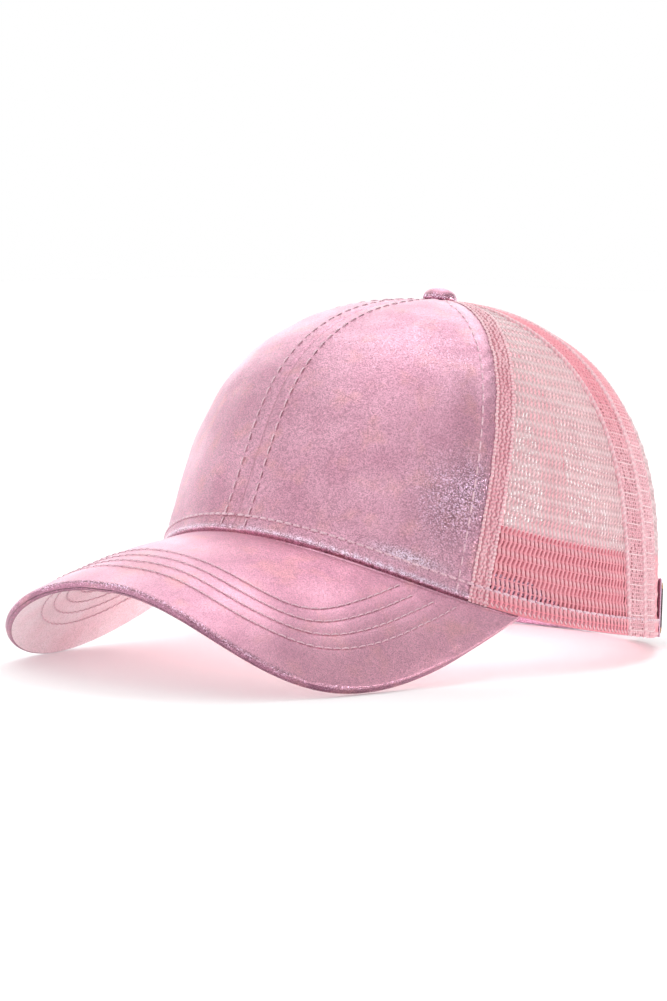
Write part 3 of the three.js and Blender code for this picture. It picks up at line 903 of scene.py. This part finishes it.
# The net's folded bottom edge: a doubled band under the yarns, sewn with two knotted rows.
def rimBandParts(panel, until):
    width = panelFrame(panel[0], panel[1], 0.0)[1]
    along = np.arange(0.2, width - 0.1, 1.5)
    across = along[along < until][:, None] - width / 2
    section = np.array(hem["rimOuter"] + hem["rimInner"])
    rings, _ = netPoint(panel, across, section[:, 0], section[:, 1])
    parts = [loft(rings, spread(across, section[:, 0]), np.repeat([1, 2], len(hem["rimOuter"])))]
    slant = np.array([-0.5, 0, 0.5])
    for row in hem["rimRows"]:
        pitch = waleAt(row)
        places = np.arange(pitch / 2, min(width - 0.5, until), pitch)[:, None] - width / 2
        path, normal = netPoint(panel, places + slant, row - slant * 1.1, 0.4)
        # The knots are painted paler through rub: a painted highlight.
        parts.append(tube(path, normal, *hem["knotSize"], 6, rub=0.5))
    return parts


sideFrame, backFrame = (
    (first, last, panelRows(first, last, (0, 1), 2)[2]) for first, last in (("side", "back"), ("back", "rear"))
)
hemCloths = [hemYarn, hemBacking, hemInside]
sideNet = netParts(sideFrame)
sideHems = hemParts(sideFrame, "first") + hemParts(sideFrame, "last", cord=True) + rimBandParts(sideFrame, 200)
backNet = netParts(backFrame)
backHems = hemParts(backFrame, "first", cord=True)
backHems += hemParts(backFrame, "last", opening["height"] + opening["tape"] - 1) + rimBandParts(backFrame, 50)
for side, turn in (("left", lambda part: part), ("right", mirrored)):
    for place, yarns, hems in (("side", sideNet, sideHems), ("back", backNet, backHems)):
        replaced = ["mesh_" + place + "_" + side]
        makePiece("net_" + place + "_" + side, [turn(p) for p in yarns], [netYarn], replaced)
        makePiece("net_" + place + "_hems_" + side, [turn(p) for p in hems], hemCloths)


# Topstitching on the crown: beside the centre and side seams, and round above the rim, where the thread is thicker,
# its needle holes show and it climbs onto the net.
crownRows = {
    "seam": {"start": 1.2, "pitch": 4.7, "gap": 1.2},
    "tightest": 0.34,  # seam rows end where the panel squeezes its edges more than this
    "rim": {"start": 0.6, "pitch": 3.45, "gap": 0.55, "holes": True, "thick": 1.5},
    "end": 141,
    "net": (56.5, 57.5),
    "lift": (0.02, 0.2),
}


def seamRow(edge):
    height = panelRows("front", "side", (0, 1), 1.3)[0]
    _, width, _, squeeze = panelFrame("front", "side", height)
    inward = panels["allowance"] * squeeze
    direction = panelDirection("front", "side", inward if edge == "first" else width - inward, height)
    keep = squeeze > crownRows["tightest"]
    return (part[keep] for part in offCrown(direction, height, 0.0))


def rimRow():
    turned = np.arange(0.0, crownRows["end"], 0.5)
    normal = crownNormal(turned, shareOf(turned, panels["rimStitch"]))
    lift = crownRows["lift"][0] + crownRows["lift"][1] * smooth(turned, *crownRows["net"])
    return bandPoint(turned, panels["rimStitch"], 0.0) + normal * lift[:, None], normal


crownThread = []
for edge in ("first", "last"):
    crownThread += stitches(*seamRow(edge), **crownRows["seam"])
crownThread += stitches(*rimRow(), **crownRows["rim"])
crownThread += [mirrored(p) for p in crownThread]
makePiece("crown_topstitching", crownThread, [sewingThread])


# Visor: a stiff board under a foil cover that wraps its edge, a lining below, and four rows of stitching.
visor = {
    "corner": 69.5,
    "reach": 59,
    "halfWidth": 79,
    "squareness": 3.4,
    "arch": 104,
    "frontDrop": 18,
    "bulge": 2.8,
    "thickness": 3.5,
    "cover": 2.15,
    "coverRoll": 1.3,  # radius of the cover's and the lining's rolled edge
    "liningRoll": 1.0,
    "liningGap": 0.18,
    "ledge": 0.2,
    "slope": 0.5,
    "trim": 0.985,
    "rows": (15, 20.8, 26.6, 32.4),  # stitching, from the outer edge
    "rowStitch": {"pitch": 3.5, "gap": 0.5, "holes": True, "thick": 0.8},
    "groove": 0.15,
    "puff": 0.07,
    "stations": 200,
    "dent": (0.25, 45, 71),  # height, size and seed of its slow dents, and of the lining's
    "liningDent": (0.2, 38, 91),
    # The worn edge is painted darker, with lilac glints: painted shade and painted glints.
    "worn": (0.65, 0.6, 15, 40),  # where the edge is worn: from the edge and its reach, round from the front
    "turned": {"stations": 90, "height": 10.5, "fall": 6.5, "falls": (60, 69), "depth": (-1.25, -1.5), "foot": -0.3},
    "allowance": {"span": (58, 80), "foot": 6.3, "height": 6.2, "fades": 9, "ragged": 0.3},
}
visorCorner = crownPoint(visor["corner"], 0)


def archDrop(x):
    return visor["arch"] - np.sqrt(visor["arch"] ** 2 - x**2)


def towardsCorner(angle):
    return 1 - np.abs(np.cos(np.radians(angle))) ** (2 / visor["squareness"])


def visorOutline(angle):
    s = np.sin(np.radians(angle))
    back = towardsCorner(angle)
    narrowing = 1 - (1 - visorCorner[0] / visor["halfWidth"]) * back**3
    x = visor["halfWidth"] * np.sign(s) * np.abs(s) ** (2 / visor["squareness"]) * narrowing
    front = -(crown["radius"][0] + visor["reach"])
    lift = visorCorner[2] + visor["frontDrop"] + archDrop(visorCorner[0])
    return spread(x, front + (visorCorner[1] - front) * back, lift * back**2 - visor["frontDrop"] - archDrop(x))


# The way up from the visor: straight up at the crown, and square to the arch at the edge.
def visorUp(angle, share):
    x = visorOutline(angle)[..., 0] / visor["arch"]
    flat = np.sqrt(1 - x**2)
    arch = unit(spread(x, -visor["slope"] * flat, flat))
    back = towardsCorner(angle)
    weight = np.maximum(share * (1 - back**4), smooth(back, 0.5, 0.85))[..., None]
    return unit(np.array([0, 0, 1.0]) * (1 - weight) + arch * weight)


# A point of the visor's top: angle goes from corner to corner, share from the crown to the edge, and is below zero
# inside the crown.
def visorPoint(angle, share):
    angle, share = np.broadcast_arrays(np.asarray(angle, float), np.asarray(share, float))
    rim = crownPoint(angle / 90 * visor["corner"], 0)
    radius = np.hypot(rim[..., 0], rim[..., 1])
    ledge = np.where(share < 0, -crown["thickness"], visor["ledge"])
    root = rim * ((radius + ledge) / radius)[..., None]
    root[..., 2] = rim[..., 2] - 0.3
    lift = visor["thickness"] * (1 - towardsCorner(angle) ** 4)
    edge = visorOutline(angle) + visorUp(angle, np.ones_like(angle)) * lift[..., None]
    s = np.clip(share, 0, 1)
    point = root + (edge - root) * s[..., None]
    point[..., 2] += visor["bulge"] * 4 * s * (1 - s) * np.cos(np.radians(angle))
    return point


def visorAngles(count):
    place = np.linspace(-visor["trim"], visor["trim"], count)
    return np.sign(place) * 90 * (1 - (1 - np.abs(place)) ** (visor["squareness"] / 2))


visorEdge = visorPoint(visorAngles(700), 1.0)


# Distance from the visor's outer edge, worked out a few thousand points at a time.
def edgeDistance(points):
    flat = points.reshape(-1, 3)
    gaps = (flat[k : k + 4000, None] - visorEdge for k in range(0, len(flat), 4000))
    return np.concatenate([np.sqrt((gap**2).sum(-1).min(1)) for gap in gaps]).reshape(points.shape[:-1])


# How far the cover stands off the board: rows of stitches sink, and it puffs up between them.
def visorRelief(distance, share, points):
    offset = -sum(visor["groove"] * bump(distance, row, 0.55) for row in visor["rows"])
    between = (distance > visor["rows"][0]) & (distance < visor["rows"][-1])
    gap = (visor["rows"][1] - visor["rows"][0]) / 2
    waves = 0.5 - 0.5 * np.cos(math.pi * (distance - visor["rows"][0]) / gap)
    offset += visor["puff"] * waves * between
    high, size, seed = visor["dent"]
    offset += high * dents(points, size, seed) * smooth(distance, 3, 14) * smooth(share, 0.03, 0.2)
    return offset - 0.5 * bump(share, 0, 0.012)


# Points of the visor's top, the way up from each, and their distance from the edge.
def visorGrid(angles, shares):
    points = visorPoint(angles[:, None], shares)
    away = visorUp(angles[:, None], np.maximum(shares, 0))
    length = np.linalg.norm(visorPoint(angles, 1.0) - visorPoint(angles, 0.0), axis=1)[:, None]
    return points, away, (1 - np.clip(shares, 0, 1)) * length


# How far a rolled edge falls away, at a distance from it.
def rolled(distance, radius):
    return radius * (1 - np.sqrt(1 - np.clip(1 - distance / radius, 0, 1) ** 2))


def visorCover():
    angles = visorAngles(visor["stations"])
    shares = np.concatenate([[-1, 0, 0.006, 0.015, 0.03], np.linspace(0.05, 0.985, 120), [0.992, 0.997, 1.0]])
    top, away, fromEdge = visorGrid(angles, shares)
    relief = np.where(shares > 0, visorRelief(edgeDistance(top), shares, top), 0)
    outer = top + away * (relief - rolled(fromEdge, visor["coverRoll"]))[..., None]
    along = runLength(visorPoint(angles, 0.6))
    low, wide, middle, far = visor["worn"]
    patchy = 0.5 + 0.5 * smooth(dents(outer, 14, 33), -0.3, 0.5)
    # Rub along the edge: wear, painted darker with lilac glints; the rolled edge strip takes the darker edge foil.
    worn = 0.75 * bump(fromEdge, low, wide) * patchy * (0.3 + 0.7 * bump(angles, middle, far)[:, None])
    kinds = np.zeros(2 * len(shares), int)
    kinds[len(shares) - 2 : len(shares) + 1] = 1
    cloth = spread(along[:, None], wrapped(fromEdge, fromEdge))
    return loft(wrapped(outer, top - away * visor["cover"]), cloth, kinds, wrapped(worn, np.zeros_like(worn)))


# The cover's own edge, turned up inside the crown along the visor. Its rub mark paints it darker with glints:
# painted shade and painted glints.
def turnedUp():
    look = visor["turned"]
    direction = np.linspace(-visor["corner"], visor["corner"], look["stations"])[:, None]
    tall = look["height"] - look["fall"] * smooth(np.abs(direction), *look["falls"]) - look["foot"]
    up = look["foot"] + tall * np.array([0, 0.5, 1, 1, 0.5, 0])
    return band(direction, up, np.repeat(look["depth"], 3), rub=0.45)


def visorUnder():
    angles = visorAngles(140)
    shares = np.concatenate([[-1, 0], np.linspace(0.04, 0.985, 40), [0.993, 1.0]])
    top, away, fromEdge = visorGrid(angles, shares)
    upper = top - away * (visor["cover"] + visor["liningGap"])
    lower = top - away * (visor["thickness"] - rolled(fromEdge, visor["liningRoll"]))[..., None]
    high, size, seed = visor["liningDent"]
    lower += away * (high * dents(lower, size, seed) * smooth(fromEdge, 2, 12))[..., None]
    # The rolled edge takes the darker edge foil, a painted shade; a light rub strews sparse painted glints.
    kinds = np.zeros(2 * len(shares), int)
    kinds[len(shares) - 2 : len(shares) + 2] = 1
    cloth = spread(angles[:, None] * crown["perDegree"], wrapped(fromEdge, fromEdge))
    return loft(wrapped(upper, lower), cloth, kinds, 0.1)


# The cover's seam allowance behind each end of the visor, turned up between the net and the sweatband. It shows
# dark through the net, and its rub mark paints it darker still with glints: painted shade and painted glints.
def seamAllowance():
    look = visor["allowance"]
    low, high = look["span"]
    direction = np.linspace(low, high, 60)[:, None]
    up = np.array([0, 0.3, 0.7, 1, 1, 0.7, 0.3, 0])
    depth = np.array([0.9, 0.88, 0.88, 0.92, 1.08, 1.12, 1.12, 1.08])
    fade = 1 - smooth(direction, high - look["fades"], high)
    tall = look["foot"] + look["height"] * up * (0.15 + 0.85 * fade) + look["ragged"] * np.sin(direction * 1.7) * up
    return band(direction, tall, -depth, rub=0.7)


# A row of stitches at a distance from the visor's edge, on its top or under it.
def visorRow(distance, depth=None):
    angles = visorAngles(400)
    shares = np.linspace(0.0, 0.97, 220)
    gap = edgeDistance(visorPoint(angles[:, None], shares))
    found = gap[:, 0] > distance + 0.4
    share = np.array([np.interp(-distance, -g, shares) for g in gap[found]])
    path, away = visorPoint(angles[found], share), visorUp(angles[found], share)
    if depth is None:
        lift = visorRelief(edgeDistance(path), share, path) + 0.12
        return path + away * lift[:, None], away
    return path - away * depth, -away


makePiece("visor_cover", [visorCover(), turnedUp()], [visorFoil, edgeFoil], ["visor_top"])
makePiece("visor_seam_allowance", [seamAllowance(), mirrored(seamAllowance())], [visorFoil])
makePiece("visor_lining", [visorUnder()], [liningFoil, edgeFoil], ["visor_under"])
visorThread = []
for distance in visor["rows"]:
    for depth in (None, visor["thickness"] + 0.02):
        visorThread += stitches(*visorRow(distance, depth), start=0.4 * (distance % 3), **visor["rowStitch"])
makePiece("visor_topstitching", visorThread, [sewingThread])


# Sweatband: doubled twill cotton folded over its top edge.
sweatband = {
    "end": 148,
    "height": 30,
    "offset": 1.65,
    "thickness": 1.45,
    "low": 0.4,
    "drop": 4.0,
    "dropEnd": (40, 54),
    "presses": 0.55,
    "stitchEnd": 146,
    "stitchHeight": 27.5,
    "clear": 0.1,  # from the band's face to the crown, and to its stitches
}


# How far the band presses out against the net, beyond the backed front panels.
def pressed(direction, tall):
    return sweatband["presses"] * smooth(np.abs(direction), 63, 68) * smooth(tall, 9.5, 12)


def sweatbandPart():
    look = sweatband
    direction = np.linspace(-look["end"], look["end"], 260)[:, None]
    low = look["low"] - (look["drop"] + look["low"]) * (1 - smooth(np.abs(direction), *look["dropEnd"]))
    fold = look["thickness"] / 2
    turn = np.linspace(0, math.pi, 7)
    flat = np.arange(4) / 4
    up = np.concatenate([flat, np.ones(7), flat[::-1], [-0.004]])
    extra = np.concatenate([np.zeros(4), np.sin(turn) * fold - fold, np.zeros(5)])
    depth = np.concatenate([np.zeros(4), fold - np.cos(turn) * fold, np.full(4, look["thickness"]), [fold]])
    outer = np.concatenate([np.ones(4), (1 + np.cos(turn)) / 2, np.zeros(4), [0.5]])
    tall = low + (look["height"] - low) * up + extra
    wave = 0.128 * np.sin(direction / 5.3) * np.sin(tall / 9) + 0.08 * np.sin(direction / 2.1)
    away = pressed(direction, tall) * outer - (look["offset"] + depth + look["clear"] + wave)
    return band(direction, tall, away)


makePiece("sweatband_cloth", [sweatbandPart()], [bandCotton], ["sweatband"])
bandRow, bandUp = np.linspace(-sweatband["stitchEnd"], sweatband["stitchEnd"], 500), sweatband["stitchHeight"]
outside = pressed(bandRow, bandUp) - sweatband["offset"] - sweatband["clear"]
inside = -(sweatband["offset"] + sweatband["thickness"] + sweatband["clear"])
bandThread = bandStitches(bandRow, bandUp, outside) + bandStitches(bandRow, bandUp, inside, -1)
makePiece("sweatband_stitching", bandThread, [sewingThread])


# Button: a tin dome wrapped in the foil cloth, gathered under its rim, with a plain washer inside the crown.
button = {
    "profile": [  # radius, and height above the crown's top
        (0.05, -3), (4.6, -3), (5, -2.8), (5, -2.1), (4.8, -2), (2.3, -2), (2.3, 0.25),
        (5.0, 0.15), (5.9, 0.2), (6.25, 0.5), (6.4, 1.0), (6.38, 1.6), (6.2, 2.3), (5.8, 3.1),
        (5.2, 3.85), (4.3, 4.45), (3.2, 4.85), (2.0, 5.08), (1.0, 5.17), (0.05, 5.2),
    ],
    "segments": 96,
    "pleats": (17, 11),  # two counts of folds on top of each other
    "gather": (0.2, 0.12),  # how far they go out and up
    "ripple": 0.07,
}


def buttonPart():
    profile = np.array(button["profile"])
    wide, tall = profile[:, :1], profile[:, 1:]
    turn = np.arange(button["segments"]) * 2 * math.pi / button["segments"]
    many, few = button["pleats"]
    gathered = bump(tall, 0.6, 0.9) * (wide > 4.9) * (tall > 0)
    out, up = button["gather"]
    radius = wide + out * gathered * (np.sin(turn * many) * 0.6 + np.sin(turn * few + 1.3) * 0.4)
    height = tall + up * gathered * np.cos(turn * many + 0.7)
    height += button["ripple"] * bump(tall, 4.4, 1.3) * np.sin(3 * turn + radius) * smooth(radius, 0, 3)
    rings = spread(radius * np.cos(turn), radius * np.sin(turn) - crown["topForward"], crown["height"] + height)
    # The gathers under the rim carry rub, painted darker with glints: painted shade and painted glints.
    return loft(rings, rings[..., :2], 0, 0.5 * bump(tall, 1.2, 1.5))


# The same foil pulled tight over the tin, so it is smoother and shinier.
buttonFoil = foilCloth("foil_coated_button_cloth", colour="#e7abc0", speckle=0.12, roughness=0.34, tilt=0.12)
makePiece("covered_button", [buttonPart()], [buttonFoil], ["button"])


# Direction and height share of the point of the back with this x and so many millimetres above the rim.
def onBack(x, millimetres):
    low, high = np.full_like(x, 90.0), np.full_like(x, 180.0)
    for _ in range(40):
        half = (low + high) / 2
        wide = crownPoint(half, shareOf(half, millimetres))[..., 0] > x
        low, high = np.where(wide, half, low), np.where(wide, high, half)
    direction = (low + high) / 2
    return direction, shareOf(direction, millimetres)


# Binding: woven tape folded over the net's cut edge round the half-moon opening, stitched by each side.
binding = {
    "stations": 150,
    "stitchInset": 1.6,
    "stitchSpan": (14, 166),
    "stitchLift": 0.34,
    # Distance from the opening's edge, from the tape's outer edge where below zero, and height off the crown.
    "section": [
        (0, -0.5), (0.08, -0.05), (0.4, 0.32), (1.0, 0.48), (1.6, 0.38), (2.3, 0.5), (4.0, 0.55),
        (-2.3, 0.5), (-1.6, 0.36), (-0.7, 0.42), (-0.15, 0.25), (8, -0.1), (8, -0.6), (-0.4, -1.1), (-1.2, -1.25),
        (4.0, -1.3), (1.0, -1.3), (0.4, -1.15), (0.08, -0.9), (0.0, -0.7),
    ],
}


def archPoint(angle, grow, offset):
    angle, grow = np.broadcast_arrays(angle, grow)
    x = (opening["halfWidth"] + grow) * np.cos(np.radians(angle))
    above = (opening["height"] + grow) * np.sin(np.radians(angle))
    direction, height = onBack(np.abs(x), above)
    return offCrown(np.where(x < 0, 360 - direction, direction), height, offset)


def bindingPart():
    angle = np.linspace(0, 180, binding["stations"])[:, None]
    grow, offset = np.array(binding["section"]).T
    grow = np.where(grow < 0, opening["tape"] + grow, grow)
    rings, _ = archPoint(angle, grow, offset)
    return loft(rings, spread(runLength(rings[:, 6])[:, None], grow))


makePiece("opening_tape", [bindingPart()], [bindingTape], ["opening_binding"])
arch = np.linspace(*binding["stitchSpan"], 400)
tapeThread = []
for grow in (binding["stitchInset"], opening["tape"] - binding["stitchInset"]):
    tapeThread += stitches(*archPoint(arch, grow, binding["stitchLift"]))
makePiece("opening_stitching", tapeThread, [sewingThread])


# Straps: two bands of folded foil cloth, edge-stitched, that lap over each other under the opening.
strap = {
    "height": 22,
    "offset": 0.9,
    "thickness": 1.1,
    "start": 130.5,
    "overlap": 14,
    "ramp": (161, 165),  # where the left strap climbs onto the right one
    "climb": 1.4,
    "stitchInset": 2.2,
    "stitchDip": 0.16,
    "stitchStart": 132,
    "stitchEnd": 12,
    "covered": 195,  # the right strap's begin here, beyond the lap
    "lines": (0.9, 1.5, 2.2, 2.9, 4.5, 8, 11, 14, 17.5, 19.1, 19.8, 20.5, 21.1),
}


def strapOffset(direction, side):
    return strap["offset"] + (side == "left") * strap["climb"] * smooth(direction, *strap["ramp"])


# Directions along a strap, whose end is given in degrees past the middle of the back.
def alongStrap(side, start, past, count):
    return np.linspace(start, 180 + past, count) if side == "left" else np.linspace(180 - past, 360 - start, count)


def strapPart(side):
    direction = alongStrap(side, strap["start"], strap["overlap"], 110)[:, None]
    turn = np.linspace(-math.pi / 2, math.pi / 2, 5)
    tall, thick, half = strap["height"], strap["thickness"], strap["thickness"] / 2
    lines = np.array(strap["lines"])
    inset = strap["stitchInset"]
    dip = strap["stitchDip"] * (bump(lines, inset, 0.6) + bump(lines, tall - inset, 0.6))
    outer = spread(lines, thick - dip)
    top = spread(tall - half + half * np.cos(turn), half - half * np.sin(turn))
    foot = spread(half - half * np.cos(turn), half + half * np.sin(turn))
    up, away = np.concatenate([outer, top, spread(lines[::-1], 0.0), foot]).T
    away = strapOffset(direction, side) + away + 0.12 * np.sin(direction / 3.1) * np.sin(up / 7)
    middle = strapOffset(direction, side) + half
    ends = np.minimum(direction - direction[0], direction[-1] - direction)
    away = middle + (away - middle) * np.sqrt(smooth(ends, -0.02, 0.5) + 0.03)
    # The folded top and bottom edges carry rub, painted darker with glints: painted shade and painted glints.
    return band(direction, up, away, rub=0.4 * (bump(up, 0, 1) + bump(up, tall, 1)))


strapThread = []
for side in ("left", "right"):
    makePiece("back_strap_" + side, [strapPart(side)], [strapFoil], ["strap_" + side])
    direction = alongStrap(side, strap["stitchStart"], strap["stitchEnd"], 240)
    direction = direction[(side == "left") | (direction > strap["covered"])]
    for up in (strap["stitchInset"], strap["height"] - strap["stitchInset"]):
        away = strapOffset(direction, side) + strap["thickness"] - 0.1
        strapThread += bandStitches(direction, up, away)
makePiece("strap_stitching", strapThread, [sewingThread])


# Label: a bare tab of dark leather with raw tan edges, on the left strap.
label = {
    "span": (134.5, 152),
    "low": 1,
    "high": 21,
    "thickness": 1.25,
    "corner": 2.6,
    "gap": 0.25,  # from the strap
    "stitchInset": 1.9,
    "stitchSpan": (135.9, 150.6),
}


# Tanned hide, grained and finished: small pores between smooth pebbles, with a soft uneven gloss. Its cut edge is
# raw fibre, paler and matt.
def leatherMaterial(name, **look):
    material, add, place, lot, colour = clouded(name, look, 6, 4.0)
    pores = add("TexVoronoi", {"Vector": place, "Scale": 1000 / look["grain"]}, feature="DISTANCE_TO_EDGE")
    relief = add("Bump", {"Strength": 0.6, "Distance": 0.00025, "Height": pores})
    low, high = look["roughness"] - 0.1, look["roughness"] + 0.1
    rough = add("MapRange", {"Value": lot, "To Min": low, "To Max": high})
    addSurface(add, {"Base Color": colour, "Roughness": rough, "Normal": relief, "IOR": 1.5})
    return material


darkLeather = leatherMaterial(
    "grain_leather_dark_brown", colour="#4e393b", shade="#3b2a2d", grain=0.9, roughness=0.5
)
rawEdge = leatherMaterial("raw_leather_edge", colour="#c79a6a", shade="#a97c50", grain=0.6, roughness=0.8)


def labelPart():
    start, end = label["span"]
    direction = np.linspace(start, end, 60)[:, None]
    fromEnd = np.radians(np.minimum(direction - start, end - direction)) * rowValue("radius", direction)
    corner, t = label["corner"], label["thickness"]
    trim = corner - np.sqrt(np.maximum(corner**2 - np.maximum(corner - fromEnd, 0) ** 2, 0))
    low, high = label["low"] + trim, label["high"] - trim
    shares = (0.1, 0.3, 0.5, 0.7, 0.9)
    # Share of the height, millimetres more and depth: the foot's bevel, the face, the top's bevel and the back.
    section = [(0, 0.25, 0.2), (0, 0, t - 0.5), (0, 0.3, t)] + [(share, 0, t) for share in shares]
    section += [(1, -0.3, t), (1, 0, t - 0.5), (1, -0.25, 0.2)] + [(share, 0, 0) for share in shares[::-1]]
    share, more, depth = np.array(section).T
    up = low + (high - low) * share + more
    away = strap["offset"] + strap["thickness"] + label["gap"] + depth
    raw = np.isin(np.arange(len(section)), (1, 8)).astype(int)  # the outer bevels show the raw edge
    return band(direction, up, away, kinds=raw, lidKind=0)


makePiece("leather_label", [labelPart()], [darkLeather, rawEdge], ["label"])
direction = np.linspace(*label["stitchSpan"], 80)
labelThread = []
for up in (label["low"] + label["stitchInset"], label["high"] - label["stitchInset"]):
    away = strap["offset"] + strap["thickness"] + label["gap"] + label["thickness"] - 0.05
    labelThread += bandStitches(direction, up, away)
makePiece("label_stitching", labelThread, [sewingThread])
